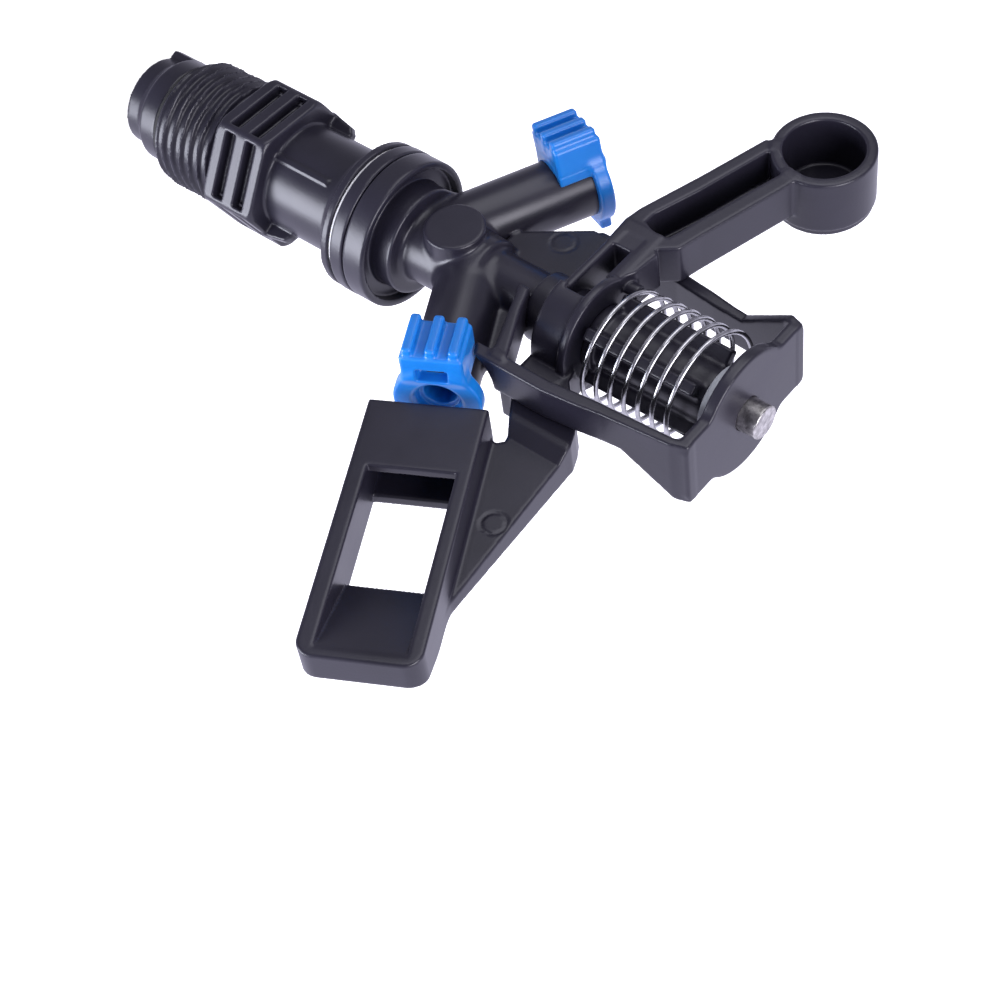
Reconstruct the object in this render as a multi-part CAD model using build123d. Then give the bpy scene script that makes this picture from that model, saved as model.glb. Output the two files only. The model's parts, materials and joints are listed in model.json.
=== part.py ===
from build123d import *
import math
import os

# Impact (rocker-arm) sprinkler head with two blue nozzles, all sizes in millimetres.
# Frame: +Z runs up the sprinkler from the inlet thread to the tip of the fulcrum pin,
# z = 0 is the shoulder of the hexagon that seats on the supply fitting.
# The drive vane is on the +X side, the counterweight cup on the -X side.

# ---- inlet nut -------------------------------------------------------------
THREAD_CREST_R = 10.36
THREAD_ROOT_R = 9.30
THREAD_PITCH = 1.814
THREAD_TURNS = 6
THREAD_END_Z = -12.6
HEX_H = 9.8
HEX_APOTHEM = 10.42
HEX_TURN = -2.8
NUT_BORE_R = 4.66
NUT_TUBE_R = 8.35
NUT_CAVITY_R = 7.3
NUT_CAVITY_Z = 12.5
FLANGE_R = 11.4
FLANGE_Z0 = 23.8
FLANGE_Z1 = 25.1

# ---- bearing tube and rings ------------------------------------------------
BARREL_R = 4.6
BARREL_BORE_R = 3.5
INLET_END_Z = -21.0
INLET_LIP_R = 6.9
INLET_FLANGE_R = 8.2
RING1_Z = (25.7, 28.0)
RING1_R = 11.5
RING2_Z = (28.0, 31.9)
RING2_R = 11.45
RING3_R = 8.15
RING3_Z = 34.3
NECK_R = 6.0

# ---- head ------------------------------------------------------------------
DRIVE_TILT = 27.8
DRIVE_Z = 43.65
DRIVE_FACE = 25.4
SPREAD_TILT = 26.5
SPREAD_Z = 34.8
SPREAD_FACE = 27.4
TUBE_R = 5.1
TUBE_BORE_R = 3.7
NOZZLE_RING_T = 2.4
BOSS_Z = 40.8
BOSS_R = 4.6
BOSS_Y = -7.0
STEM_R = 4.5
STEM_TOP_Z = 56.5
STRIP_HALF_H = 5.9
PLATE_Z = (89.4, 91.3)
PLATE_DISC_R = 9.8

# ---- pin, spring, core -----------------------------------------------------
PIN_R = 2.5
PIN_Z = (50.0, 94.3)
CORE_BORE_R = 2.57
CORE_R = 4.2
CORE_FIN_R = 6.7
CORE_FIN_T = 1.9
WIRE_R = 0.35
SPRING_R = 8.6
SPRING_TURNS = 6.7
SPRING_Z = (69.4, 85.8)

# ---- rocker arm ------------------------------------------------------------
ARM_TOP_Y = -7.0
HUB_R = 7.0
HUB_LIP_R = 8.7
DRUM_R = 8.2
HUB_Z = (60.3, 66.7)
CUP_X = -41.5
CUP_Z = 75.3
CUP_R = 7.7
CUP_BORE_R = 5.95
CUP_Y = (-7.0, 3.2)
VANE_TILT = 27.8
VANE_D = (49.3, 90.8)
VANE_N = (30.1, 47.0)
VANE_Y = (-3.7, 3.4)


def rod(radius, z0, z1):
    """Cylinder on the sprinkler axis."""
    return Pos(0, 0, (z0 + z1) / 2) * Cylinder(radius, z1 - z0)


def washer(r_out, r_in, z0, z1):
    return rod(r_out, z0, z1) - rod(r_in, z0 - 1, z1 + 1)


def slab(points, y0, y1):
    """Outline given as (x, z) pairs, extruded along Y."""
    edge = Polyline(*[(x, y0, z) for x, z in points], close=True)
    return extrude(make_face(edge), amount=y1 - y0, dir=(0, 1, 0))


def column(points, z0, z1):
    """Outline given as (x, y) pairs, extruded along Z."""
    edge = Polyline(*[(x, y, z0) for x, y in points], close=True)
    return extrude(make_face(edge), amount=z1 - z0, dir=(0, 0, 1))


def turned(points):
    """Outline given as (radius, z) pairs, revolved about the sprinkler axis."""
    edge = Polyline(*[(r, 0, z) for r, z in points], close=True)
    return revolve(make_face(edge), Axis.Z, 360)


def spin(shape, degrees):
    return Rot(0, 0, degrees) * shape


def jet_plane(side, tilt, start_z, distance):
    """Plane square to a nozzle tube; side +1 is the drive tube, -1 the spreader tube."""
    angle = math.radians(tilt)
    along = Vector(side * math.cos(angle), 0, math.sin(angle))
    return Plane(origin=Vector(0, 0, start_z) + along * distance, x_dir=(0, 1, 0), z_dir=along)


def jet_rod(side, tilt, start_z, radius, d0, d1):
    return jet_plane(side, tilt, start_z, (d0 + d1) / 2) * Cylinder(radius, d1 - d0)


def vane_point(d, n):
    """Vane frame coordinates (along the jet, across it) to (x, z)."""
    angle = math.radians(VANE_TILT)
    x = d * math.cos(angle) - n * math.sin(angle)
    z = d * math.sin(angle) + n * math.cos(angle)
    return (x, z)


def vane_section(points, n0, n1):
    """Outline given as (d, y) pairs, extruded across the vane from n0 to n1."""
    ends = []
    for d, y in points:
        x, z = vane_point(d, n0)
        ends.append((x, y, z))
    angle = math.radians(VANE_TILT)
    face = make_face(Polyline(*ends, close=True))
    return extrude(face, amount=n1 - n0, dir=(-math.sin(angle), 0, math.cos(angle)))


def helix_wire(radius, z0, z1, turns, wire_r, start_angle, left_hand=False):
    pitch = (z1 - z0) / turns
    path = Helix(pitch=pitch, height=z1 - z0, radius=radius, lefthand=left_hand)
    section = Plane(origin=path @ 0, z_dir=path % 0) * Circle(wire_r)
    coil = sweep(section, path=path, is_frenet=True)
    return Pos(0, 0, z0) * Rot(0, 0, start_angle) * coil


# ---------------------------------------------------------------------------
def inlet_nut():
    crest = 0.28
    flank = 0.40
    points = [(NUT_BORE_R, THREAD_END_Z), (THREAD_ROOT_R - 0.1, THREAD_END_Z)]
    for turn in range(THREAD_TURNS, -1, -1):
        mid = -0.85 - turn * THREAD_PITCH
        top = THREAD_CREST_R
        if turn == THREAD_TURNS:
            top = THREAD_CREST_R - 0.45
        points.append((THREAD_ROOT_R, mid - crest - flank))
        points.append((top, mid - crest))
        points.append((top, mid + crest))
        points.append((THREAD_ROOT_R, mid + crest + flank))
    points[-1] = (THREAD_CREST_R, 0.0)
    points.append((NUT_BORE_R, 0.0))
    thread = turned(points)

    outline = RegularPolygon(HEX_APOTHEM, 6, major_radius=False)
    hexagon = extrude(outline, amount=HEX_H)
    hexagon = hexagon & turned([
        (0, 0), (11.2, 0), (12.1, 0.6), (12.1, HEX_H - 0.6), (11.4, HEX_H), (0, HEX_H)])
    for side in range(6):
        for low in (2.0, 6.0):
            pocket = Pos(HEX_APOTHEM - 0.2, 0, low + 1.0) * Box(3.4, 10.4, 2.0)
            hexagon -= Rot(0, 0, 30 + 60 * side) * pocket
    hexagon = spin(hexagon, HEX_TURN)

    sleeve = turned([
        (NUT_BORE_R, 0), (7.6, 0), (7.6, HEX_H - 1), (10.0, HEX_H - 0.5), (9.9, HEX_H + 0.3),
        (NUT_TUBE_R, HEX_H + 2.2), (NUT_TUBE_R, 21.2), (8.7, 22.2), (9.6, 23.2),
        (FLANGE_R - 0.5, FLANGE_Z0), (FLANGE_R, FLANGE_Z0 + 0.3), (FLANGE_R, FLANGE_Z1 - 0.15),
        (FLANGE_R - 0.2, FLANGE_Z1), (NUT_CAVITY_R, FLANGE_Z1), (NUT_CAVITY_R, NUT_CAVITY_Z),
        (NUT_BORE_R, NUT_CAVITY_Z)])
    nut = thread + hexagon + sleeve
    nut -= rod(NUT_BORE_R, THREAD_END_Z - 1, NUT_CAVITY_Z)

    gusset = slab([(8.0, HEX_H - 0.5), (10.9, HEX_H - 0.5), (9.9, 13.4), (9.3, 14.1), (8.0, 14.1)],
                  -0.8, 0.8)
    rib = Pos(8.35, 0, 15.4) * Box(0.7, 0.9, 11.0)
    for base in (28, 208):
        nut += spin(gusset, base)
        nut += spin(rib, base + 90)
    return nut


def inlet_seal():
    return washer(8.6, 5.1, THREAD_END_Z - 1.0, THREAD_END_Z)


def bearing_tube():
    top = THREAD_END_Z - 1.1
    body = turned([
        (5.3, INLET_END_Z), (INLET_LIP_R - 0.5, INLET_END_Z), (INLET_LIP_R, INLET_END_Z + 0.5),
        (INLET_LIP_R, INLET_END_Z + 2.6), (INLET_FLANGE_R, INLET_END_Z + 4.2),
        (INLET_FLANGE_R, top - 0.2), (INLET_FLANGE_R - 0.2, top), (BARREL_R, top),
        (BARREL_R, 37.7), (BARREL_R - 0.3, 38.0), (BARREL_BORE_R, 38.0),
        (BARREL_BORE_R, INLET_END_Z + 8.0), (5.3, INLET_END_Z + 5.0)])
    lug = Pos(-7.0, 0, INLET_END_Z + 2.3) * Box(2.4, 7.0, 4.2)
    lug = lug & washer(INLET_FLANGE_R, INLET_LIP_R - 0.3, INLET_END_Z, INLET_END_Z + 5)
    return body + spin(lug, 12)


def bearing_spring():
    return helix_wire(6.0, NUT_CAVITY_Z + 0.55, FLANGE_Z1 - 0.6, 4.5, 0.5, 0)


def bearing_washer():
    return washer(11.0, 4.75, FLANGE_Z1 + 0.1, RING1_Z[0])


def dust_ring():
    z0, z1 = RING1_Z
    return turned([
        (4.75, z0), (RING1_R - 0.2, z0), (RING1_R, z0 + 0.2), (RING1_R, z1 - 0.3),
        (RING1_R - 0.35, z1), (4.75, z1)])


def strip_pair():
    """The two bridge strips with the end plate; each strip is the other turned half a turn."""
    outer = [(14.2, 53.5), (16.1, 54.6), (16.1, 69.0), (14.9, 78.5), (13.9, 88.8), (13.0, 91.3)]
    inner = [(11.0, 91.3), (12.1, 88.6), (12.9, 81.5), (13.3, 76.0), (14.2, 69.0)]
    side = slab(outer + inner, -STRIP_HALF_H, STRIP_HALF_H)
    profile_y = [(-STRIP_HALF_H, 53.0), (0, 53.0), (0, 81.0), (STRIP_HALF_H, 89.2),
                 (STRIP_HALF_H, 91.3), (-STRIP_HALF_H, 91.3)]
    edge = Polyline(*[(10.0, y, z) for y, z in profile_y], close=True)
    window = extrude(make_face(edge), amount=8.0, dir=(1, 0, 0))
    strip = side & window
    wall = slab([(2.5, 54.6), (15.0, 59.7), (15.0, 61.7), (13.6, 61.5), (6.2, 57.8), (2.5, 56.4)],
                -STRIP_HALF_H, 0)
    floor = slab([(2.0, 45.0), (9.0, 48.0), (15.2, 53.8), (15.2, 57.0), (2.0, 57.0)], -0.8, 0.8)
    half = strip + wall + floor
    z0, z1 = PLATE_Z
    plate = Pos(0, 0, (z0 + z1) / 2) * Box(26.0, 2 * STRIP_HALF_H, z1 - z0)
    plate = plate & column([(-13.0, -5.9), (11.6, -5.9), (13.0, -4.5), (13.0, 5.9), (-11.6, 5.9),
                            (-13.0, 4.5)], z0, z1)
    plate += rod(PLATE_DISC_R, z0, z1)
    hub = turned([(0, z0 - 1.4), (4.3, z0 - 1.4), (4.6, z0 - 1.1), (4.6, z0), (0, z0)])
    return half + spin(half, 180) + plate + hub


def head_body():
    z0, z1 = RING2_Z
    rings = turned([
        (0, z0), (RING2_R - 0.35, z0), (RING2_R, z0 + 0.3), (RING2_R, z1 - 0.3),
        (RING2_R - 0.3, z1), (10.4, z1), (10.2, z1 - 1.6), (RING3_R, z1 - 1.6),
        (RING3_R, RING3_Z - 0.3), (RING3_R - 0.3, RING3_Z), (NECK_R + 0.6, RING3_Z),
        (NECK_R, RING3_Z + 0.8), (NECK_R, 46.0), (STEM_R + 0.6, 48.0), (STEM_R, 50.0),
        (STEM_R, STEM_TOP_Z), (0, STEM_TOP_Z)])
    drive = jet_rod(1, DRIVE_TILT, DRIVE_Z, TUBE_R, 0.0, DRIVE_FACE - NOZZLE_RING_T)
    spread = jet_rod(-1, SPREAD_TILT, SPREAD_Z, TUBE_R, 0.0, SPREAD_FACE - NOZZLE_RING_T)
    boss = Pos(0, BOSS_Y / 2, BOSS_Z) * Rot(90, 0, 0) * Cylinder(BOSS_R, -BOSS_Y)
    boss += Pos(0, 3.0, BOSS_Z) * Rot(90, 0, 0) * Cylinder(BOSS_R, 6.0)
    bridge = strip_pair()
    bridge -= jet_rod(1, DRIVE_TILT, DRIVE_Z, 7.3, 15.0, 30.0)
    bridge -= rod(5.45, STEM_TOP_Z, 62)
    body = rings + drive + spread + boss + bridge

    body -= rod(BARREL_R, z0 - 1, 38.0)
    body -= rod(BARREL_BORE_R, 37.0, 46.5)
    body -= jet_rod(1, DRIVE_TILT, DRIVE_Z, TUBE_BORE_R, 0.0, 40)
    body -= jet_rod(-1, SPREAD_TILT, SPREAD_Z, TUBE_BORE_R, 3.5, 40)
    body -= rod(PIN_R, PIN_Z[0], 100)
    return body


def nozzle(side, tilt, start_z, face, turn):
    """Blue snap-on nozzle; local +Z is the jet, local x runs away from the ribbed grip."""
    back = -NOZZLE_RING_T
    ring = Pos(0, 0, back / 2) * Cylinder(6.2, NOZZLE_RING_T)
    plug = Pos(0, 0, back - 2.4) * Cylinder(TUBE_BORE_R - 0.05, 4.8)
    grip = Pos(-6.85, 0, -1.0) * Box(3.3, 8.4, 2.0)
    top = Pos(-7.2, 0, -3.8) * Box(3.2, 7.8, 7.4)
    saddle = Pos(0, 0, -3.8) * (Cylinder(6.4, 7.4) & Pos(-6.0, 0, 0) * Box(6.0, 8.6, 8.0))
    piece = ring + grip + top + saddle
    for across in (-3.15, 0.0, 3.15):
        piece += Pos(-9.3, across, -3.8) * Box(1.8, 1.35, 7.4)
    tab = Pos(6.3, 0, -0.9) * Box(2.0, 4.6, 1.8)
    piece += tab
    piece -= Pos(0, 0, -3.8 - NOZZLE_RING_T - 1.0) * Cylinder(TUBE_R + 0.02, 9.6)
    piece += ring + plug
    piece -= Pos(0, 0, -4) * Cylinder(2.2, 12)
    piece -= Pos(0, 0, -0.55) * Cone(2.7, 3.9, 1.1)
    piece -= Pos(-5.7, 0, -0.6) * Box(2.2, 4.5, 1.6)
    return jet_plane(side, tilt, start_z, face) * Rot(0, 0, turn) * piece


def fulcrum_pin():
    z0, z1 = PIN_Z
    return turned([(0, z0), (PIN_R - 0.2, z0), (PIN_R, z0 + 0.2), (PIN_R, z1 - 0.15),
                   (PIN_R - 0.15, z1), (0, z1)])


def thrust_collar():
    return turned([(PIN_R, STEM_TOP_Z), (5.1, STEM_TOP_Z), (5.3, STEM_TOP_Z + 0.2),
                   (5.3, 58.9), (5.1, 59.1), (PIN_R, 59.1)])


def retaining_ring():
    return turned([(PIN_R, 86.7), (4.9, 86.7), (5.1, 86.9), (5.1, 87.6), (4.9, 87.8), (PIN_R, 87.8)])


def spring_core():
    core = turned([
        (CORE_BORE_R, 59.4), (3.6, 59.4), (3.6, 66.8), (CORE_R, 66.8), (CORE_R, 86.2),
        (CORE_R - 0.3, 86.5), (CORE_BORE_R, 86.5)])
    fin = Pos(0, 0, 76.6) * Box(2 * CORE_FIN_R + 1, CORE_FIN_T, 18.4)
    fin = fin & rod(CORE_FIN_R, 67.4, 85.8)
    fins = spin(fin, 40) + spin(fin, 130)
    fins -= rod(CORE_BORE_R, 60, 90)
    base = washer(5.0, CORE_BORE_R + 0.3, 66.75, 68.4)
    return core + fins + base


def torsion_spring():
    return helix_wire(SPRING_R, SPRING_Z[0], SPRING_Z[1], SPRING_TURNS, WIRE_R, 90, left_hand=True)


def hub_shell():
    z0, z1 = HUB_Z
    plate = rod(HUB_R, z0, z1 - 1.4) + rod(HUB_LIP_R, z1 - 1.5, z1)
    plate += column([(-15.0, ARM_TOP_Y), (0, ARM_TOP_Y), (0, -0.2), (-15.0, -0.2)], z0, z1)
    plate += column([(0, 0.3), (15.5, 0.3), (15.5, 6.2), (0, 6.2)], z0, z1)
    hollow = rod(HUB_R + 0.5, z0 + 1.4, z1 - 1.5)
    hollow += column([(-12.2, -8), (0, -8), (0, -1.8), (-12.2, -1.8)], z0 + 1.4, z1 - 1.5)
    hollow -= rod(5.0, z0, z1)
    hollow -= column([(-16, -1.8), (0, -1.8), (0, -10), (16, -10), (16, 8), (-16, 8)], z0, z1)
    drum = rod(DRUM_R, z0, z1) & column([(0, -10), (10, -10), (10, 10), (0, 10)], z0, z1)
    shell = plate + drum - hollow
    shell += rod(5.0, 59.4, z0 + 0.5)
    return shell


def arm_beam():
    outline = [(-12.0, 60.3), (-14.7, 60.0), (-17.5, 60.6), (-36.5, 66.5), (-41.0, 75.0),
               (-33.5, 75.4), (-17.7, 70.9), (-13.8, 69.9), (-12.4, 68.1), (-7.4, 67.5),
               (-4.6, 66.2), (-4.6, 64.0), (-12.0, 64.0)]
    beam = slab(outline, ARM_TOP_Y, -0.2)
    pocket = [(-15.3, 63.0), (-17.6, 62.9), (-37.5, 69.2), (-36.0, 73.6), (-20.4, 68.9),
              (-15.6, 67.4), (-14.9, 65.2)]
    beam -= slab(pocket, ARM_TOP_Y - 1, -1.6)
    beam -= Pos(-13.3, 0, 68.9) * Rot(0, 45, 0) * Box(1.0, 20, 0.9)
    return beam


def cup():
    def upright(radius, y0, y1):
        middle = Pos(CUP_X, (y0 + y1) / 2, CUP_Z)
        return middle * Rot(90, 0, 0) * Cylinder(radius, y1 - y0)

    body = upright(CUP_R, CUP_Y[0], CUP_Y[1])
    body -= upright(CUP_R + 1, CUP_Y[1] - 1.2, CUP_Y[1] + 1) - upright(CUP_R - 0.25, CUP_Y[1] - 1.2,
                                                                      CUP_Y[1] + 1)
    inside = upright(CUP_BORE_R, CUP_Y[0] - 1, CUP_Y[1] - 1.5)
    button = upright(2.6, CUP_Y[1] - 1.6, CUP_Y[1] - 1.1)
    return body, inside, button


def drive_branch():
    outline = [(0.0, 60.3), (12.0, 60.3), (16.4, 63.2), (20.2, 66.0), (21.2, 66.2), (21.9, 65.6),
               (22.0, 63.6), vane_point(49.5, 46.5), vane_point(80.3, 46.5), (46.0, 77.6),
               (19.4, 75.2), (17.6, 74.7), (14.7, 73.0), (12.2, 71.0), (8.4, 67.6), (4.0, 66.7),
               (0, 66.7)]
    branch = slab(outline, 0.3, 6.4)
    shape = [(0, 0.3), (17.2, 0.3), (19.4, 1.4), (48.5, 1.4), (48.5, 4.3), (18.0, 6.2), (0, 6.2)]
    branch = branch & column(shape, 58, 82)
    relief = [(22.5, 68.4), (30.5, 70.4), (42.0, 76.0), (20.5, 73.6), (14.0, 69.0), (14.0, 66.0)]
    branch -= slab(relief, 4.0, 8.0)
    return branch


def drive_vane():
    d0, d1 = VANE_D
    n0, n1 = VANE_N
    y0, y1 = VANE_Y
    left, right = n0 + 2.5, n1 - 2.0
    frame = vane_section([(d0, y0), (d1, y0), (d1, 1.35), (84.0, y1), (d0, y1)], n0, n1)
    frame = frame & slab([vane_point(d, n) for d, n in (
        (d0, n0), (d1 - 3.2, n0), (d1 - 1.0, n0 + 1.0), (d1, n0 + 3.2), (d1, n1 - 3.2),
        (d1 - 1.0, n1 - 1.0), (d1 - 3.2, n1), (d0 + 1.2, n1), (d0, n1 - 1.2))], y0 - 1, y1 + 1)
    frame -= vane_section([(d0 - 1, y0 + 1.4), (60.2, y0 + 1.4), (60.2, y0 - 1), (89.2, y0 - 1),
                           (89.2, y0), (76.1, 2.0), (76.1, y1 + 1), (60.9, y1 + 1), (60.9, 2.0),
                           (d0 - 1, 2.0)], left, right)
    return frame


def rocker_arm():
    cup_body, cup_inside, cup_button = cup()
    arm = hub_shell() + arm_beam() + cup_body + drive_branch() + drive_vane()
    arm -= cup_inside
    arm += cup_button
    peg = Pos(-6.2, -4.4, 67.6) * Cylinder(1.15, 2.8)
    arm += peg
    arm -= rod(3.6, 50, 80)
    keep_out = washer(CORE_FIN_R + 0.05, 1.0, 66.72, 72)
    arm -= keep_out
    return arm


os.makedirs("parts", exist_ok=True)

PIECES = {
    "inlet_nut": inlet_nut(),
    "inlet_seal": inlet_seal(),
    "bearing_tube": bearing_tube(),
    "bearing_spring": bearing_spring(),
    "bearing_washer": bearing_washer(),
    "dust_ring": dust_ring(),
    "head_body": head_body(),
    "drive_nozzle": nozzle(1, DRIVE_TILT, DRIVE_Z, DRIVE_FACE, 0),
    "spreader_nozzle": nozzle(-1, SPREAD_TILT, SPREAD_Z, SPREAD_FACE, -14),
    "fulcrum_pin": fulcrum_pin(),
    "thrust_collar": thrust_collar(),
    "retaining_ring": retaining_ring(),
    "spring_core": spring_core(),
    "torsion_spring": torsion_spring(),
    "rocker_arm": rocker_arm(),
}

for name, shape in PIECES.items():
    export_step(shape, f"parts/{name}.step")
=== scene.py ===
import json
import math

import bpy
import numpy as np
from mathutils import Matrix, Vector

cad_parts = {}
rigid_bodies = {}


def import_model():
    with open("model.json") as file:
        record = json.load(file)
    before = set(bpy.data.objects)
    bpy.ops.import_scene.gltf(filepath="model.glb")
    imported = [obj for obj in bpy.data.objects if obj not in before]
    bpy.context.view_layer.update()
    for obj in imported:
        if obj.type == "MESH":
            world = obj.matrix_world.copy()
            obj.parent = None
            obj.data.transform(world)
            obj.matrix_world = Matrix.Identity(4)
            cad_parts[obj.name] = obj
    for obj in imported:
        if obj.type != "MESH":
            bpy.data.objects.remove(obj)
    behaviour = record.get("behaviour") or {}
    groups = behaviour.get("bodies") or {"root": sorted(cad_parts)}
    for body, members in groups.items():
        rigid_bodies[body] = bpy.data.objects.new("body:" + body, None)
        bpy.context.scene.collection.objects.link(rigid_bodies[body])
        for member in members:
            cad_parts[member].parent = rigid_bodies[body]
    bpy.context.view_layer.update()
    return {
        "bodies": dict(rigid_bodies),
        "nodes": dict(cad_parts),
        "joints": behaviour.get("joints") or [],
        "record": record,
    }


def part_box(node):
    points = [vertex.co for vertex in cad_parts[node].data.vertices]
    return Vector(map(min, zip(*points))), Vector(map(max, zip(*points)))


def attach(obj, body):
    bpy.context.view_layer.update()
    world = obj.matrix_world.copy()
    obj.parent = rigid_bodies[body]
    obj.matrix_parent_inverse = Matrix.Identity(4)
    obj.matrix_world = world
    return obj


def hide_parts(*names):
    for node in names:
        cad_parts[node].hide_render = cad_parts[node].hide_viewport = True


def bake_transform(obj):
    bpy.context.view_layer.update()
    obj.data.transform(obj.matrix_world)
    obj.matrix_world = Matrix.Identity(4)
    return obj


# Looks of a plastic impact sprinkler. Shapes are distance fields in millimetres,
# in the row frame, that are turned into closed quad meshes and placed in metres.

MM = 0.001

# ---- driving sizes ---------------------------------------------------------
THREAD_R = 10.365
THREAD_PITCH = 1.814
THREAD_DEPTH = 1.05
HEX_APOTHEM = 10.42
HEX_BASE = math.radians(-2.8)
HEX_TOP = 9.8
BORE_R = 3.5
DRIVE = {"side": 1, "tilt": 27.8, "z": 43.65, "face": 25.4}
SPREAD = {"side": -1, "tilt": 26.4, "z": 34.7, "face": 27.5}
TUBE_R = 5.1
PIN_R = 2.5
VANE_TILT = math.radians(27.8)
ARM_TOP = -7.0
VANE_NEAR = 48.9
VANE_CORNER_R = 2.6
SEAM_ANGLE = -101

# Torsion spring: turns are counted from the first full coil, and the axis drifts over six turns.
COIL_R = 8.55
COIL_PITCH = 2.44
COIL_Z = 70.25
COIL_START = -56
COIL_TURNS = (-0.45, 6.34)
COIL_DRIFT = (0.57, -1.73)
COIL_STEPS = 440
LEG_TURN = 6.1
FLOOR_Z = -21.6


# ---- distance fields -------------------------------------------------------
def both(d2, d1, rounding=0.0):
    """Intersection of two fields at right angles, with its outer edge rounded."""
    a = d2 + rounding
    b = d1 + rounding
    outside = np.hypot(np.maximum(a, 0), np.maximum(b, 0))
    return outside + np.minimum(np.maximum(a, b), 0) - rounding


def between(v, low, high):
    return np.abs(v - (low + high) / 2) - (high - low) / 2


def cylinder(r, along, radius, low, high, rounding=0.2):
    return both(r - radius, between(along, low, high), rounding)


def box(u, v, w, u_span, v_span, w_span, rounding=0.2):
    flat = both(between(u, *u_span), between(v, *v_span), rounding)
    return both(flat, between(w, *w_span), rounding)


def polygon(u, v, points):
    """Signed distance to a closed outline in the (u, v) plane."""
    best = np.full(u.shape, 1e9, np.float32)
    inside = np.zeros(u.shape, bool)
    count = len(points)
    for i in range(count):
        au, av = points[i]
        bu, bv = points[(i + 1) % count]
        eu, ev = bu - au, bv - av
        pu, pv = u - au, v - av
        t = np.clip((pu * eu + pv * ev) / (eu * eu + ev * ev), 0, 1)
        best = np.minimum(best, (pu - eu * t) ** 2 + (pv - ev * t) ** 2)
        if av != bv:
            crosses = ((av <= v) & (bv > v)) | ((bv <= v) & (av > v))
            inside ^= crosses & (pu < pv * (eu / ev))
    distance = np.sqrt(best)
    return np.where(inside, -distance, distance)


def prism(u, v, w, points, low, high, rounding=0.25, corner=0.0):
    """Outline in (u, v), from low to high along w. corner rounds the outline itself."""
    flat = polygon(u, v, points) - corner
    return both(flat, between(w, low, high), rounding)


def union(*fields):
    result = fields[0]
    for field in fields[1:]:
        result = np.minimum(result, field)
    return result


def melt(a, b, k):
    """Union with a fillet of about k in the inner corner."""
    h = np.maximum(k - np.abs(a - b), 0) / k
    return np.minimum(a, b) - h * h * k * 0.25


def cut(a, b, k=0.0):
    """a without b; k rounds the edge that the cut leaves."""
    if k == 0:
        return np.maximum(a, -b)
    return -melt(-a, b, k)


def clip(a, b, k=0.0):
    if k == 0:
        return np.maximum(a, b)
    return -melt(-a, -b, k)


# ---- from a field to a mesh ------------------------------------------------
BLOCK = 8
CORNERS = [(i, j, k) for i in (0, 1) for j in (0, 1) for k in (0, 1)]


def sample(field, low, shape, step):
    """Field values on the grid; blocks that the surface can't cross keep their centre's value."""
    blocks = [max(1, math.ceil(n / BLOCK)) for n in shape]
    middle = [low[a] + step * (np.arange(blocks[a]) * BLOCK + (BLOCK - 1) / 2) for a in range(3)]
    cx, cy, cz = np.meshgrid(*middle, indexing="ij")
    coarse = field(cx, cy, cz)
    values = coarse
    for axis in range(3):
        values = np.repeat(values, BLOCK, axis)
    values = values.astype(np.float32)
    reach = step * BLOCK * 0.9 + 0.25
    near = np.argwhere(np.abs(coarse) < reach)
    offsets = np.stack(np.meshgrid(*[np.arange(BLOCK)] * 3, indexing="ij"), -1).reshape(-1, 3)
    for start in range(0, len(near), 1500):
        index = near[start:start + 1500, None, :] * BLOCK + offsets[None]
        index = index.reshape(-1, 3)
        points = np.array(low) + index * step
        found = field(points[:, 0], points[:, 1], points[:, 2])
        values[index[:, 0], index[:, 1], index[:, 2]] = found
    return values


def gradient(field, points, h=0.03):
    result = np.empty_like(points)
    for axis in range(3):
        shift = np.zeros(3)
        shift[axis] = h
        ahead = field(*(points + shift).T)
        behind = field(*(points - shift).T)
        result[:, axis] = (ahead - behind) / (2 * h)
    return result


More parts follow.
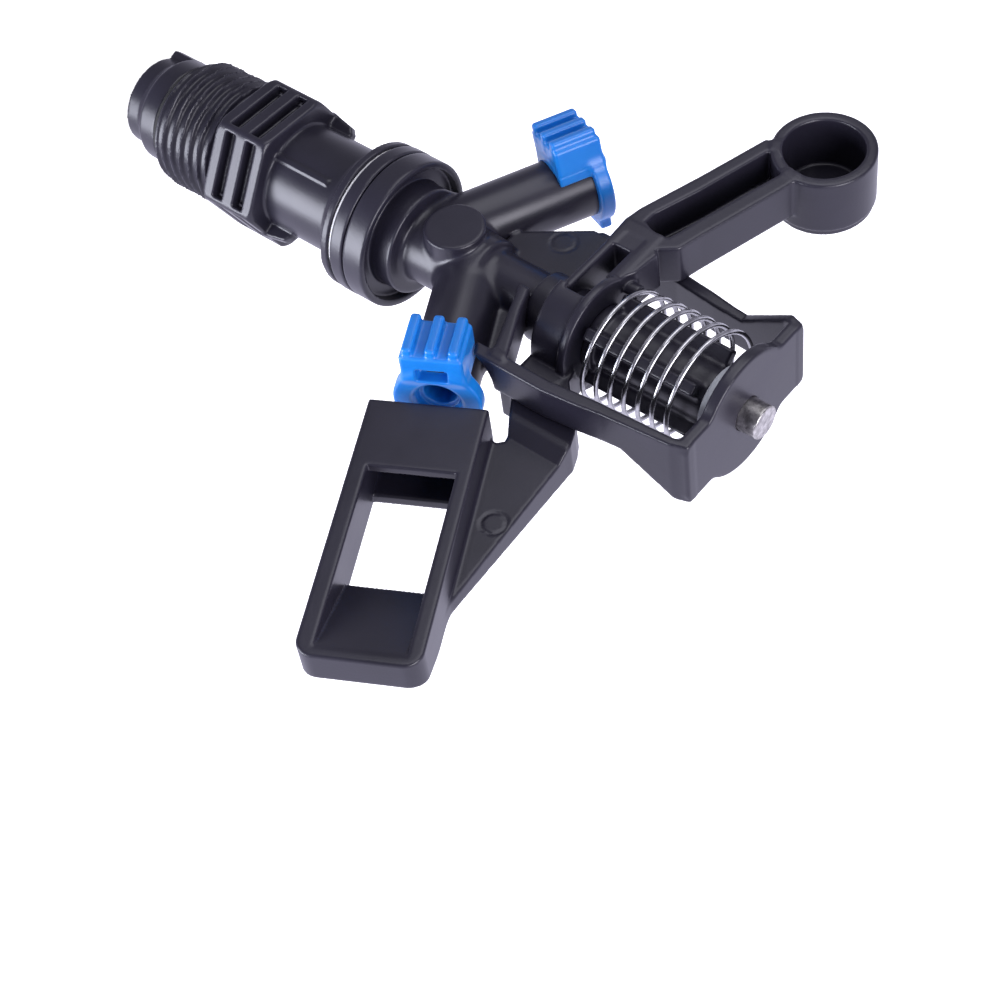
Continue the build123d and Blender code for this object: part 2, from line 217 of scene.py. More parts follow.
def surface(field, low, high, step):
    """Closed quad mesh of the field's zero surface."""
    low = np.array(low, float) - 2.2 * step
    shape = np.ceil((np.array(high, float) + 2.2 * step - low) / step).astype(int) + 1
    values = sample(field, low, shape, step)
    for axis in range(3):
        side = np.moveaxis(values, axis, 0)
        side[0] = side[-1] = step
    solid = values < 0
    cells = tuple(n - 1 for n in solid.shape)
    count = np.zeros(cells, np.uint8)
    for i, j, k in CORNERS:
        count += solid[i:i + cells[0], j:j + cells[1], k:k + cells[2]]
    active = np.argwhere((count > 0) & (count < 8))
    number = np.full(cells, -1, np.int32)
    number[tuple(active.T)] = np.arange(len(active))

    total = np.zeros((len(active), 3))
    crossings = np.zeros(len(active))
    for axis in range(3):
        for a in CORNERS:
            if a[axis]:
                continue
            b = list(a)
            b[axis] = 1
            va = values[tuple((active + a).T)]
            vb = values[tuple((active + b).T)]
            hit = (va < 0) != (vb < 0)
            t = np.where(hit, va / np.where(va == vb, 1, va - vb), 0)
            point = np.array(a, float) + np.outer(t, np.array(b) - a)
            total += point * hit[:, None]
            crossings += hit
    points = low + (active + total / crossings[:, None]) * step
    home = points.copy()
    for _ in range(2):
        slope = gradient(field, points)
        size = np.maximum((slope ** 2).sum(1), 0.25)
        points -= slope * (field(*points.T) / size)[:, None]
    away = points - home
    length = np.linalg.norm(away, axis=1)
    points = home + away * np.minimum(1, 0.7 * step / np.maximum(length, 1e-9))[:, None]

    quads = []
    for axis in range(3):
        u, v = (axis + 1) % 3, (axis + 2) % 3
        first = [slice(None)] * 3
        second = [slice(None)] * 3
        first[axis] = slice(0, -1)
        second[axis] = slice(1, None)
        change = solid[tuple(first)] != solid[tuple(second)]
        edges = np.argwhere(change)
        edges = edges[(edges[:, u] > 0) & (edges[:, v] > 0)]
        ring = []
        for du, dv in ((1, 1), (0, 1), (0, 0), (1, 0)):
            cell = edges.copy()
            cell[:, u] -= du
            cell[:, v] -= dv
            ring.append(number[tuple(cell.T)])
        ring = np.stack(ring, 1)
        outward = solid[tuple(edges.T)]
        ring[~outward] = ring[~outward][:, ::-1]
        quads.append(ring)
    return points, np.concatenate(quads)


def build(name, points, faces, body, replaced, material):
    mesh = bpy.data.meshes.new(name)
    mesh.vertices.add(len(points))
    mesh.vertices.foreach_set("co", (np.asarray(points, np.float64) * MM).ravel())
    mesh.loops.add(faces.size)
    mesh.loops.foreach_set("vertex_index", faces.astype(np.int32).ravel())
    mesh.polygons.add(len(faces))
    mesh.polygons.foreach_set("loop_start", np.arange(len(faces), dtype=np.int32) * faces.shape[1])
    mesh.update(calc_edges=True)
    mesh.polygons.foreach_set("use_smooth", np.ones(len(faces), bool))
    mesh.update()
    piece = bpy.data.objects.new(name, mesh)
    bpy.context.scene.collection.objects.link(piece)
    mesh.materials.append(material)
    if body:
        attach(piece, body)
    if replaced:
        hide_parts(replaced)
    return piece


# ---- shared coordinates ----------------------------------------------------
def turned(x, y, degrees):
    """Coordinates seen after the shape is turned by degrees about Z."""
    c, s = math.cos(math.radians(degrees)), math.sin(math.radians(degrees))
    return c * x + s * y, -s * x + c * y


def jet(x, y, z, tube):
    """Along a nozzle tube from the axis, across it (upward), and sideways y."""
    tilt = math.radians(tube["tilt"])
    px = x * tube["side"]
    along = px * math.cos(tilt) + (z - tube["z"]) * math.sin(tilt)
    across = -px * math.sin(tilt) + (z - tube["z"]) * math.cos(tilt)
    return along, across, y


def vane(x, z):
    d = x * math.cos(VANE_TILT) + z * math.sin(VANE_TILT)
    n = -x * math.sin(VANE_TILT) + z * math.cos(VANE_TILT)
    return d, n


# ---- inlet -----------------------------------------------------------------
def nut_field(x, y, z):
    r = np.hypot(x, y)
    angle = np.arctan2(y, x)

    phase = (z / THREAD_PITCH - angle / (2 * math.pi)) % 1.0
    ridge = np.clip((0.5 - np.abs(phase - 0.5)) * 2.6 - 0.55, 0, 1)
    ridge = ridge * ridge * (3 - 2 * ridge)
    lead = np.clip((z + 13.2) / 2.2, 0, 1) * np.clip((-z + 0.1) / 0.9, 0, 1)
    seam_u, seam_v = turned(x, y, SEAM_ANGLE)
    on_seam = (np.abs(seam_v) < 0.9) & (seam_u > 0)
    height = THREAD_DEPTH * ridge * lead
    height = np.where(on_seam, np.minimum(height, 0.55), height)
    thread = both((r - (THREAD_R - THREAD_DEPTH) - height) * 0.62, between(z, -12.6, 1.0), 0.1)
    chamfer = (r - 9.0 - 0.9 * (z + 12.6)) * 0.74
    thread = clip(thread, chamfer)

    sector = (angle - HEX_BASE) % (math.pi / 3) - math.pi / 6
    out = r * np.cos(sector)
    side = r * np.sin(sector)
    hexagon = clip(out - HEX_APOTHEM, r - 11.85, 0.3)
    hexagon = both(hexagon, between(z, 0, HEX_TOP), 0.3)
    bevel = (r + np.abs(z - HEX_TOP / 2) - 11.9 - HEX_TOP / 2 + 0.6) * 0.7
    hexagon = clip(hexagon, bevel, 0.2)
    for low in (2.0, 6.05):
        pocket = box(out, side, z, (HEX_APOTHEM - 1.8, 20), (-5.15, 5.15), (low, low + 1.9), 0.15)
        hexagon = cut(hexagon, pocket, 0.3)

    outline = [(0, 0), (8.35, 0), (8.35, 21.3), (8.7, 22.3), (9.5, 23.2), (10.6, 23.75), (11.4, 23.9),
               (11.4, 25.1), (0, 25.1)]
    sleeve = polygon(r, z, outline)
    ribs = 1e9
    for turn in (-62, 118):
        u, v = turned(x, y, turn)
        ribs = np.minimum(ribs, box(u, v, z, (6, 8.65), (-0.45, 0.45), (9, 20.1), 0.12))
    for turn in (28, 208):
        u, v = turned(x, y, turn)
        fin = prism(u, z, v, [(7, 9), (10.7, 9), (10.4, 10.5), (9.9, 13.2), (9.0, 14.0), (7, 14.1)],
                    -0.8, 0.8, 0.25)
        ribs = np.minimum(ribs, fin)
    body = union(thread, hexagon)
    body = melt(body, sleeve, 0.5)
    body = melt(body, ribs, 0.35)
    bore = union(cylinder(r, z, 4.66, -14, 13, 0), cylinder(r, z, 7.3, 12.5, 26, 0.1))
    return cut(body, bore)


def tube_field(x, y, z):
    r = np.hypot(x, y)
    outline = [(0, -21.0), (6.9, -21.0), (6.9, -18.4), (8.2, -16.8), (8.2, -13.7), (4.6, -13.7),
               (4.6, 38.0), (0, 38.0)]
    body = polygon(r, z, outline)
    u, v = turned(x, y, 196)
    lug = clip(clip(r - 8.2, np.abs(v) - 4.4), 5.6 - u)
    body = melt(body, both(lug, between(z, -21.0, -16.6), 0.25), 0.25)
    bore = polygon(r, z, [(-9, -22), (5.4, -22), (5.3, -16), (BORE_R, -13), (BORE_R, 40), (-9, 40)])
    return cut(body, bore, 0.4)


def ring_field(outer, inner, low, high, rounding):
    def field(x, y, z):
        r = np.hypot(x, y)
        return both(np.maximum(r - outer, inner - r), between(z, low, high), rounding)
    return field


# ---- head ------------------------------------------------------------------
def nozzle_tube(x, y, z, tube, end):
    along, across, side = jet(x, y, z, tube)
    return cylinder(np.hypot(across, side), along, TUBE_R, 0, end, 0.25)


def strip_field(x, y, z):
    """One bridge strip with the wall that ties it to the stem."""
    outline = [(14.1, 53.6), (15.2, 53.6), (16.1, 54.6), (16.1, 69.0), (15.5, 74.5), (14.9, 78.4),
               (13.9, 88.8), (13.1, 91.3), (11.8, 91.3), (12.6, 88.5), (13.35, 76.0), (14.1, 69.0)]
    body = prism(x, z, y, outline, -5.9, 5.9, 0.28)
    shape = polygon(y, z, [(-5.9, 40), (0, 40), (0, 81.0), (5.9, 89.3), (5.9, 95), (-5.9, 95)])
    body = clip(body, shape, 0.35)
    wall = prism(x, z, y, [(2.5, 54.6), (15.0, 59.7), (15.0, 61.7), (13.6, 61.5), (6.2, 57.8), (2.5, 56.4)],
                 -5.9, -0.45, 0.25)
    return melt(body, wall, 0.7)


def head_field(x, y, z):
    r = np.hypot(x, y)
    rings = cylinder(r, z, 11.45, 28.15, 31.9, 0.35)
    rings = cut(rings, both(np.maximum(r - 10.35, 7.9 - r), between(z, 30.4, 40), 0.15), 0.25)
    rings = melt(rings, cylinder(r, z, 8.15, 28.5, 34.3, 0.3), 0.35)
    core = cylinder(r, z, 5.7, 30, 47.0, 0.5)
    body = melt(rings, core, 0.9)
    stem = cylinder(r, z, 4.35, 40, 56.5, 0.2)
    body = melt(body, stem, 1.4)

    drive = nozzle_tube(x, y, z, DRIVE, DRIVE["face"] - 1.5)
    spread = nozzle_tube(x, y, z, SPREAD, SPREAD["face"] - 1.5)
    boss_r = np.hypot(x, z - 40.8)
    boss = cylinder(boss_r, y, 4.5, -7.0, 0, 0.3)
    rear = cylinder(boss_r, y, 4.5, 0, 6.3, 0.5)
    body = melt(body, drive, 1.2)
    body = melt(body, spread, 1.2)
    body = melt(body, boss, 0.6)
    body = melt(body, rear, 0.8)

    web = prism(x, z, y, [(-1, 44), (-8.5, 44.4), (-15.0, 53.8), (-15.0, 57), (-1, 57)], -0.8, 0.8, 0.2)
    web = union(web, prism(x, z, y, [(1, 46), (9, 49.2), (14.8, 54.2), (14.8, 57), (1, 57)], -0.8, 0.8, 0.2))
    body = melt(body, web, 0.5)

    bridge = np.minimum(strip_field(x, y, z), strip_field(-x, -y, z))
    notch_along, notch_across, notch_side = jet(x, y, z, DRIVE)
    notch = cylinder(np.hypot(notch_across, notch_side), notch_along, 7.35, 15.0, 30.0, 0)
    bridge = cut(bridge, notch)
    plate = melt(both(between(x, -13.4, 13.4), between(y, -5.9, 5.9), 1.7), r - 9.75, 0.8)
    plate = both(plate, between(z, 89.5, 91.3), 0.3)
    hub = cylinder(r, z, 4.6, 88.1, 91, 0.3)
    bridge = melt(bridge, plate, 0.25)
    bridge = melt(bridge, hub, 0.4)
    body = melt(body, bridge, 0.5)

    body = cut(body, cylinder(r, z, 5.45, 56.5, 62, 0))
    body = cut(body, cylinder(r, z, 4.6, 20, 38, 0))
    body = cut(body, cylinder(r, z, 3.5, 36, 46.5, 0.5))
    for tube in (DRIVE, SPREAD):
        along, across, side = jet(x, y, z, tube)
        body = cut(body, cylinder(np.hypot(across, side), along, 3.9, 3, 40, 0), 0.3)
    mark = both(np.maximum(np.hypot(x + 10.6, z - 51.6) - 2.0, 1.7 - np.hypot(x + 10.6, z - 51.6)),
                between(y, -1.0, -0.7), 0.05)
    body = cut(body, mark, 0.1)
    return cut(body, r - (PIN_R + 0.01) + np.where(z > 50, 0, 9))


def nozzle_field(tube, twist):
    """Snap-on nozzle: u runs along the jet with 0 at the front, h away from the grip."""
    def field(x, y, z):
        along, across, side = jet(x, y, z, tube)
        u = along - tube["face"]
        c, s = math.cos(math.radians(twist)), math.sin(math.radians(twist))
        t = c * across + s * side
        h = -(-s * across + c * side)
        r = np.hypot(across, side)

        ring = cylinder(r, u, 6.3, -2.3, 0, 0.45)
        grip = box(t, h, u, (-4.45, 4.45), (4.6, 8.9), (-7.3, 0), 0.5)
        body = melt(ring, grip, 1.6)
        saddle = both(clip(r - 6.3, np.abs(t) - 4.45), between(u, -7.3, -1), 0.3)
        saddle = clip(saddle, 3.2 - h)
        body = melt(body, saddle, 0.5)
        for across_rib in (-3.25, 0.0, 3.25):
            rib = box(t, h, u, (across_rib - 0.75, across_rib + 0.75), (7.0, 10.2), (-7.3, -0.35), 0.5)
            body = melt(body, rib, 0.45)
        window = box(t, h, u, (-2.3, 2.2), (4.7, 6.75), (-1.7, 2), 0.45)
        body = cut(body, window, 0.35)
        tab = box(t, h, u, (-2.3, 2.3), (-7.6, -5.0), (-1.8, 0), 0.4)
        body = melt(body, tab, 0.6)
        body = cut(body, cylinder(r, u, TUBE_R + 0.03, -12, -2.35, 0))
        body = union(body, cylinder(r, u, 3.85, -7.0, -1.0, 0.2))
        cone = (r - 3.75 - 0.9 * np.minimum(u, 0.5)) * 0.74
        body = cut(body, np.maximum(cone, -1.25 - u), 0.3)
        step = cylinder(r, u, 3.0, -1.9, 2, 0.2)
        body = cut(body, step, 0.25)
        return cut(body, r - 2.3, 0.3)
    return field


def core_field(x, y, z):
    r = np.hypot(x, y)
    body = union(cylinder(r, z, 3.6, 59.4, 70, 0.1), cylinder(r, z, 4.2, 66.8, 86.5, 0.3))
    for turn in (40, 130):
        u, v = turned(x, y, turn)
        fin = box(u, v, z, (-7.5, 7.5), (-0.95, 0.95), (67.4, 85.8), 0.3)
        fin = clip(fin, r - 6.7, 0.3)
        body = melt(body, fin, 0.8)
    body = melt(body, cylinder(r, z, 5.0, 66.8, 68.4, 0.3), 0.5)
    return np.maximum(body, 2.57 - r)


# ---- rocker arm ------------------------------------------------------------
def hub_field(x, y, z):
    r = np.hypot(x, y)
    tongue = box(x, y, z, (-15.0, 0.6), (ARM_TOP, -0.3), (60.3, 66.7), 0.4)
    wing = box(x, y, z, (0, 15.2), (0.4, 6.2), (60.3, 66.7), 0.4)
    drum = union(cylinder(r, z, 7.0, 60.3, 65.5, 0.4), cylinder(r, z, 8.7, 65.3, 66.7, 0.35))
    body = union(drum, tongue, wing, both(cylinder(r, z, 8.15, 60.3, 66.7, 0.4), -x, 0.4))
    channel = between(z, 61.6, 65.3)
    hollow = both(np.maximum(r - 9.5, 4.6 - r), channel, 0.3)
    hollow = np.maximum(hollow, np.maximum(y, x))
    front = box(x, y, z, (-12.9, 1.0), (-9, -1.0), (61.6, 65.3), 0.5)
    front = np.maximum(front, 4.6 - r)
    body = cut(body, union(hollow, front), 0.3)
    return melt(body, cylinder(r, z, 4.6, 59.4, 66.7, 0.3), 0.4)


def beam_field(x, y, z):
    outline = [(-10.0, 60.4), (-14.7, 60.0), (-17.5, 60.5), (-27.3, 63.8), (-38.5, 67.2), (-42, 75),
               (-34.0, 75.6), (-32.4, 75.2), (-17.7, 70.8), (-13.9, 69.8), (-12.4, 68.1), (-7.3, 67.5),
               (-4.4, 66.0), (-4.4, 64.5), (-10, 64.5)]
    body = prism(x, z, y, outline, ARM_TOP, -0.2, 0.3)
    pocket = [(-15.9, 62.8), (-17.8, 62.9), (-25.0, 65.5), (-37.5, 69.2), (-36.5, 73.8), (-20.4, 68.8),
              (-17.0, 67.9), (-15.1, 67.2), (-14.7, 65.2)]
    body = cut(body, prism(x, z, y, pocket, -9, -1.4, 0.3), 0.35)
    groove = np.abs((x + 13.05) * 0.81 + (z - 68.9) * 0.59) - 0.35
    groove = np.maximum(groove, np.hypot(x + 13.05, z - 68.9) - 1.7)
    return cut(body, groove, 0.3)


def cup_field(x, y, z):
    r = np.hypot(x + 41.5, z - 75.3)
    outer = cylinder(r, y, 7.67, -7.0, 2.2, 0.35)
    foot = cylinder(r, y, 7.35, 0, 3.2, 0.3)
    body = union(outer, foot)
    return body, r


def branch_field(x, y, z):
    outline = [(0.0, 60.3), (10.5, 60.3), (13.6, 61.6), (16.3, 63.4), (20.3, 66.0), (21.3, 66.3),
               (22.1, 65.6), (22.3, 64.2), (23.5, 63.0), (49.6, 77.0), (49.2, 78.3), (46.4, 77.6),
               (19.0, 75.0), (17.6, 74.9), (15.5, 74.0), (13.9, 73.0), (11.5, 70.4), (8.6, 67.6),
               (5.0, 66.7), (0, 66.7)]
    body = prism(x, z, y, outline, 0.4, 6.4, 0.3)
    side = [(-1, 0.45), (17.4, 0.45), (18.4, 0.7), (20.6, 1.7), (52, 1.7), (52, 4.0), (44.5, 4.2),
            (18.0, 6.2), (-1, 6.2)]
    body = clip(body, polygon(x, y, side), 0.3)
    relief = [(22.5, 68.0), (31.0, 70.2), (42.5, 75.6), (42, 76.2), (20.5, 73.8), (14.0, 69.6), (12.0, 66.0)]
    body = cut(body, prism(x, z, y, relief, 3.4, 9, 0.2), 0.3)
    mark_r = np.hypot(x - 33.0, z - 74.0)
    mark = both(np.maximum(mark_r - 1.9, 1.6 - mark_r), between(y, 1.4, 1.9), 0.03)
    return cut(body, mark, 0.1)


def vane_field(x, y, z):
    d, n = vane(x, z)
    across = between(n, 30.2, 46.9)
    frame = both(between(d, VANE_NEAR, 90.8), across, VANE_CORNER_R)
    square_end = np.maximum(np.maximum(VANE_NEAR - d, across), d - 70)
    frame = np.minimum(frame, square_end)
    frame = both(frame, between(y, -3.7, 3.8), 0.3)
    under = polygon(d, y, [(40, -9), (95, -9), (95, 1.35), (90.9, 1.35), (84, 3.4), (75, 3.9), (40, 3.6)])
    frame = clip(frame, under, 0.3)
    hollow = polygon(d, y, [(40, -2.3), (60.2, -2.3), (60.2, -9), (89.3, -9), (89.3, -3.7), (75.8, 1.9),
                            (75.8, 9), (60.9, 9), (60.9, 2.0), (40, 2.0)])
    hollow = np.maximum(hollow, between(n, 32.7, 44.8))
    return cut(frame, hollow, 0.3)


def arm_field(x, y, z):
    body = melt(hub_field(x, y, z), beam_field(x, y, z), 0.4)
    cup, cup_r = cup_field(x, y, z)
    body = melt(body, cup, 0.6)
    body = cut(body, cylinder(cup_r, y, 5.96, -9, 1.7, 0.5), 0.35)
    body = melt(body, cylinder(cup_r, y, 2.2, 1.2, 2.05, 0.15), 0.3)
    body = melt(body, branch_field(x, y, z), 0.5)
    body = melt(body, vane_field(x, y, z), 0.5)
    peg = cylinder(np.hypot(x + 6.2, y + 4.4), z, 1.15, 65, 69.0, 0.25)
    body = melt(body, peg, 0.4)
    r = np.hypot(x, y)
    body = cut(body, cylinder(r, z, 6.75, 66.72, 75, 0))
    return cut(body, r - 3.6)


# ---- spring ----------------------------------------------------------------
def wire(route, radius, sides=14):
    """Closed tube round a route of points, with turning frames carried along it."""
    route = np.array(route, float)
    tangent = np.gradient(route, axis=0)
    tangent /= np.linalg.norm(tangent, axis=1)[:, None]
    normal = np.cross(tangent[0], (0.3, 0.2, 0.9))
    points = []
    for i, centre in enumerate(route):
        normal = normal - tangent[i] * np.dot(normal, tangent[i])
        normal /= np.linalg.norm(normal)
        other = np.cross(tangent[i], normal)
        for k in range(sides):
            a = 2 * math.pi * k / sides
            points.append(centre + radius * (math.cos(a) * normal + math.sin(a) * other))
    faces = []
    for i in range(len(route) - 1):
        for k in range(sides):
            n = (k + 1) % sides
            faces.append((i * sides + k, i * sides + n, (i + 1) * sides + n, (i + 1) * sides + k))
    first = len(points)
    points.append(route[0])
    points.append(route[-1])
    last_ring = (len(route) - 1) * sides
    for k in range(0, sides, 2):
        n, m = (k + 1) % sides, (k + 2) % sides
        faces.append((first, m, n, k))
        faces.append((first + 1, last_ring + k, last_ring + n, last_ring + m))
    return np.array(points), np.array(faces)


def spring_route():
    """Left-hand coils that drift off the axis towards the end plate, ending in a short outward leg."""
    first, last = COIL_TURNS
    route = []
    for i in range(COIL_STEPS + 1):
        turn = first + (last - first) * i / COIL_STEPS
        angle = math.radians(COIL_START) - 2 * math.pi * turn
        drift = turn / 6
        leg = max(0.0, turn - LEG_TURN)
        radius = COIL_R - 0.15 * drift + 9.0 * leg * leg
        x = radius * math.cos(angle) + COIL_DRIFT[0] * drift
        y = radius * math.sin(angle) + COIL_DRIFT[1] * drift
        route.append((x, y, COIL_Z + COIL_PITCH * turn + 2.0 * leg))
    return route


# ---- materials -------------------------------------------------------------
def nodes_of(name):
    material = bpy.data.materials.new(name)
    material.use_nodes = True
    tree = material.node_tree
    shader = tree.nodes["Principled BSDF"]
    return material, tree, shader


def moulded(name, dark, light, rough, coat=0.0, scatter=0.0, grain=0.02):
    """Injection-moulded plastic: cloudy colour and gloss, fine skin texture and a broad shallow waviness."""
    material, tree, shader = nodes_of(name)
    link = tree.links.new
    place = tree.nodes.new("ShaderNodeTexCoord")
    cloud = tree.nodes.new("ShaderNodeTexNoise")
    cloud.inputs["Scale"].default_value = 90.0
    cloud.inputs["Detail"].default_value = 5.0
    link(place.outputs["Object"], cloud.inputs["Vector"])
    tint = tree.nodes.new("ShaderNodeValToRGB")
    tint.color_ramp.elements[0].position = 0.3
    tint.color_ramp.elements[0].color = (*dark, 1)
    tint.color_ramp.elements[1].position = 0.75
    tint.color_ramp.elements[1].color = (*light, 1)
    link(cloud.outputs["Fac"], tint.inputs["Fac"])
    link(tint.outputs["Color"], shader.inputs["Base Color"])
    gloss = tree.nodes.new("ShaderNodeMapRange")
    gloss.inputs["To Min"].default_value = rough[0]
    gloss.inputs["To Max"].default_value = rough[1]
    link(cloud.outputs["Fac"], gloss.inputs["Value"])
    link(gloss.outputs["Result"], shader.inputs["Roughness"])
    skin = tree.nodes.new("ShaderNodeTexNoise")
    skin.inputs["Scale"].default_value = 2600.0
    skin.inputs["Detail"].default_value = 3.0
    link(place.outputs["Object"], skin.inputs["Vector"])
    sink = tree.nodes.new("ShaderNodeTexNoise")
    sink.inputs["Scale"].default_value = 160.0
    link(place.outputs["Object"], sink.inputs["Vector"])
    add = tree.nodes.new("ShaderNodeMath")
    add.operation = "MULTIPLY_ADD"
    add.inputs[1].default_value = 4.0
    link(sink.outputs["Fac"], add.inputs[0])
    link(skin.outputs["Fac"], add.inputs[2])
    bump = tree.nodes.new("ShaderNodeBump")
    bump.inputs["Strength"].default_value = 0.35
    bump.inputs["Distance"].default_value = grain * MM
    link(add.outputs["Value"], bump.inputs["Height"])
    link(bump.outputs["Normal"], shader.inputs["Normal"])
    shader.inputs["Coat Weight"].default_value = coat
    shader.inputs["Coat Roughness"].default_value = 0.25
    if scatter:
        shader.inputs["Subsurface Weight"].default_value = scatter
        shader.inputs["Subsurface Radius"].default_value = (0.4 * MM, 1.0 * MM, 1.6 * MM)
        shader.inputs["Subsurface Scale"].default_value = 1.0
    return material


def metal(name, dark, light, rough, scale, bump_mm):
    """Drawn or sheared steel with fine marks and uneven brightness."""
    material, tree, shader = nodes_of(name)
    link = tree.links.new
    place = tree.nodes.new("ShaderNodeTexCoord")
    marks = tree.nodes.new("ShaderNodeTexNoise")
    marks.inputs["Scale"].default_value = scale
    marks.inputs["Detail"].default_value = 6.0
    marks.inputs["Roughness"].default_value = 0.65
    link(place.outputs["Object"], marks.inputs["Vector"])
    tint = tree.nodes.new("ShaderNodeValToRGB")
    tint.color_ramp.elements[0].position = 0.32
    tint.color_ramp.elements[0].color = (*dark, 1)
    tint.color_ramp.elements[1].position = 0.66
    tint.color_ramp.elements[1].color = (*light, 1)
    link(marks.outputs["Fac"], tint.inputs["Fac"])
    link(tint.outputs["Color"], shader.inputs["Base Color"])
    gloss = tree.nodes.new("ShaderNodeMapRange")
    gloss.inputs["To Min"].default_value = rough[0]
    gloss.inputs["To Max"].default_value = rough[1]
    link(marks.outputs["Fac"], gloss.inputs["Value"])
    link(gloss.outputs["Result"], shader.inputs["Roughness"])
    bump = tree.nodes.new("ShaderNodeBump")
    bump.inputs["Strength"].default_value = 0.5
    bump.inputs["Distance"].default_value = bump_mm * MM
    link(marks.outputs["Fac"], bump.inputs["Height"])
    link(bump.outputs["Normal"], shader.inputs["Normal"])
    shader.inputs["Metallic"].default_value = 1.0
    return material


# ---- studio ----------------------------------------------------------------
WIRE_R = 0.35
ROOM_FRONT = 0.30
ROOM_BACK = 1.30
ROOM_TINT = (0.82, 0.80, 1.0, 1)
CAMERA_AT = (155.228, -232.920, 205.801)
CAMERA_RIGHT = (-0.630274, 0.100303, 0.769867)
CAMERA_DOWN = (0.651610, 0.607454, 0.454317)
CAMERA_AHEAD = (-0.422089, 0.787997, -0.448220)


def camera():
    data = bpy.data.cameras.new("camera")
    data.sensor_width = 36.0
    data.lens = 80.58
    data.clip_start = 0.01
    data.clip_end = 20.0
    right, down, ahead = Vector(CAMERA_RIGHT), Vector(CAMERA_DOWN), Vector(CAMERA_AHEAD)
    turn = Matrix((right, -down, -ahead)).transposed()
    item = bpy.data.objects.new("camera", data)
    item.matrix_world = Matrix.Translation(Vector(CAMERA_AT) * MM) @ turn.to_4x4()
    bpy.context.scene.collection.objects.link(item)
    bpy.context.scene.camera = item


def lamp(name, place, target, size, power, colour=(1, 1, 1)):
    data = bpy.data.lights.new(name, "AREA")
    data.shape = "RECTANGLE"
    data.size, data.size_y = size
    data.energy = power
    data.color = colour
    item = bpy.data.objects.new(name, data)
    at, to = Vector(place) * MM, Vector(target) * MM
    item.matrix_world = Matrix.Translation(at) @ (to - at).to_track_quat("-Z", "Y").to_matrix().to_4x4()
    bpy.context.scene.collection.objects.link(item)


def studio():
    scene = bpy.context.scene
    scene.view_settings.view_transform = "Standard"
    world = bpy.data.worlds.new("pale room")
    world.use_nodes = True
    tree = world.node_tree
    link = tree.links.new
    sky = tree.nodes["Background"]
    place = tree.nodes.new("ShaderNodeTexCoord")
    split = tree.nodes.new("ShaderNodeSeparateXYZ")
    link(place.outputs["Generated"], split.inputs["Vector"])
    rise = tree.nodes.new("ShaderNodeMapRange")
    rise.interpolation_type = "SMOOTHSTEP"
    rise.inputs["From Min"].default_value = -0.6
    rise.inputs["From Max"].default_value = 0.6
    rise.inputs["To Min"].default_value = ROOM_FRONT
    rise.inputs["To Max"].default_value = ROOM_BACK
    link(split.outputs["Y"], rise.inputs["Value"])
    eye = tree.nodes.new("ShaderNodeLightPath")
    seen = tree.nodes.new("ShaderNodeMix")
    seen.inputs["B"].default_value = 1.0
    link(eye.outputs["Is Camera Ray"], seen.inputs["Factor"])
    link(rise.outputs["Result"], seen.inputs["A"])
    link(seen.outputs["Result"], sky.inputs["Strength"])
    tint = tree.nodes.new("ShaderNodeMix")
    tint.data_type = "RGBA"
    tint.inputs["A"].default_value = ROOM_TINT
    tint.inputs["B"].default_value = (1, 1, 1, 1)
    link(eye.outputs["Is Camera Ray"], tint.inputs["Factor"])
    link(tint.outputs["Result"], sky.inputs["Color"])
    scene.world = world

    mesh = bpy.data.meshes.new("floor")
    half = 6.0
    level = FLOOR_Z * MM
    mesh.from_pydata([(-half, -half, level), (half, -half, level), (half, half, level), (-half, half, level)],
                     [], [(0, 1, 2, 3)])
    floor = bpy.data.objects.new("floor", mesh)
    scene.collection.objects.link(floor)
    material, tree, shader = nodes_of("pale floor")
    shader.inputs["Base Color"].default_value = (0.9, 0.9, 0.9, 1)
    shader.inputs["Roughness"].default_value = 0.9
    shader.inputs["Emission Color"].default_value = (1, 1, 1, 1)
    shader.inputs["Emission Strength"].default_value = 1.0
    mesh.materials.append(material)
    floor.visible_diffuse = False
    floor.visible_glossy = False
    floor.visible_transmission = False
    floor.visible_shadow = False

    middle = (5, 0, 45)
    lamp("left softbox", (340, -25, -130), middle, (0.22, 0.30), 2.4, (0.86, 0.88, 1.0))
    lamp("end softbox", (90, -150, 420), middle, (0.24, 0.24), 1.5, (0.92, 0.90, 1.0))
    lamp("top softbox", (-120, -330, 60), middle, (0.30, 0.30), 0.6, (0.92, 0.92, 1.0))


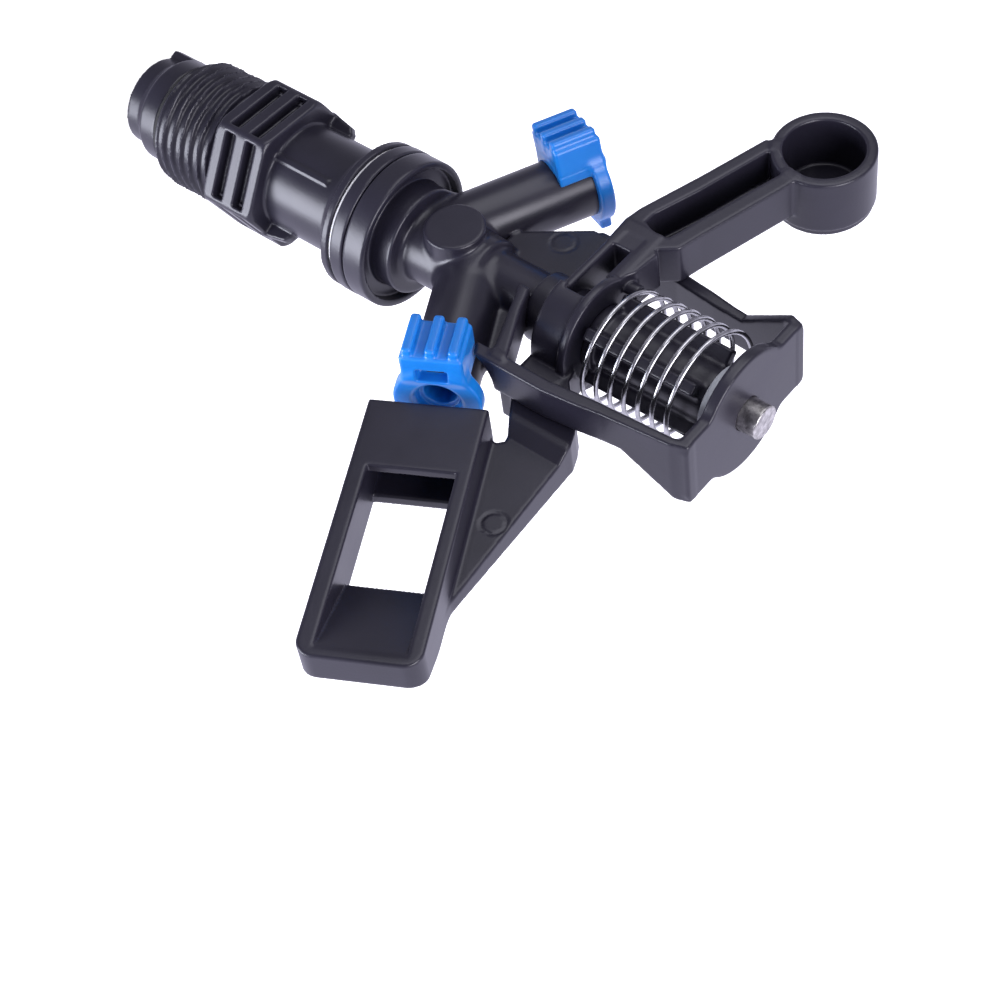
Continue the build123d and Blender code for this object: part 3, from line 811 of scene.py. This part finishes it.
def main():
    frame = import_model()
    black = moulded("black_plastic", (0.0130, 0.0120, 0.0195), (0.0200, 0.0185, 0.0300), (0.26, 0.40))
    blue = moulded("blue_plastic", (0.005, 0.165, 0.55), (0.009, 0.215, 0.66), (0.30, 0.42), coat=0.2,
                   scatter=0.25)
    white = moulded("white_washer", (0.78, 0.78, 0.76), (0.88, 0.88, 0.86), (0.4, 0.55))
    grey = moulded("grey_collar", (0.42, 0.44, 0.46), (0.56, 0.58, 0.60), (0.4, 0.55))
    rubber = moulded("seal_rubber", (0.012, 0.012, 0.012), (0.025, 0.025, 0.025), (0.7, 0.85))
    steel = metal("spring_steel", (0.30, 0.30, 0.31), (0.62, 0.62, 0.62), (0.16, 0.30), 700.0, 0.01)
    pin_steel = metal("pin_steel", (0.22, 0.21, 0.20), (0.72, 0.70, 0.67), (0.22, 0.42), 900.0, 0.05)
    finish = {"black_plastic": black, "blue_plastic": blue, "white_washer": white, "grey_plastic": grey,
              "seal_rubber": rubber, "spring_steel": steel, "pin_steel": pin_steel}
    slots = {item["node"]: item["material_slot"] for item in frame["record"]["subparts"]}
    home = {}
    for body, members in frame["record"]["behaviour"]["bodies"].items():
        for node in members:
            home[node] = body

    def piece(node, field, step, pad=0.6):
        low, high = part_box(node)
        low = [v / MM - pad for v in low]
        high = [v / MM + pad for v in high]
        points, faces = surface(field, low, high, step)
        return build(node + "_look", points, faces, home[node], node, finish[slots[node]])

    piece("inlet_nut", nut_field, 0.265)
    piece("bearing_tube", tube_field, 0.3)
    piece("inlet_seal", ring_field(8.5, 5.1, -13.6, -12.6, 0.2), 0.3)
    piece("bearing_washer", ring_field(11.0, 4.75, 25.15, 25.65, 0.1), 0.22)
    piece("dust_ring", ring_field(11.5, 4.75, 25.7, 28.0, 0.3), 0.25)
    piece("head_body", head_field, 0.31)
    piece("drive_nozzle", nozzle_field(DRIVE, 0), 0.16)
    piece("spreader_nozzle", nozzle_field(SPREAD, -14), 0.16)
    piece("thrust_collar", ring_field(5.25, PIN_R, 56.5, 59.1, 0.25), 0.22)
    piece("retaining_ring", ring_field(5.1, PIN_R, 86.7, 87.8, 0.2), 0.2)
    piece("fulcrum_pin", ring_field(PIN_R, -1, 50.0, 94.3, 0.12), 0.2)
    piece("spring_core", core_field, 0.22)
    piece("rocker_arm", arm_field, 0.29)

    points, faces = wire(spring_route(), WIRE_R)
    spring = build("torsion_spring_look", points, faces, None, None, steel)
    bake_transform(spring)
    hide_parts("torsion_spring")

    for node, item in frame["nodes"].items():
        item.data.materials.clear()
        item.data.materials.append(finish[slots[node]])

    camera()
    studio()


main()
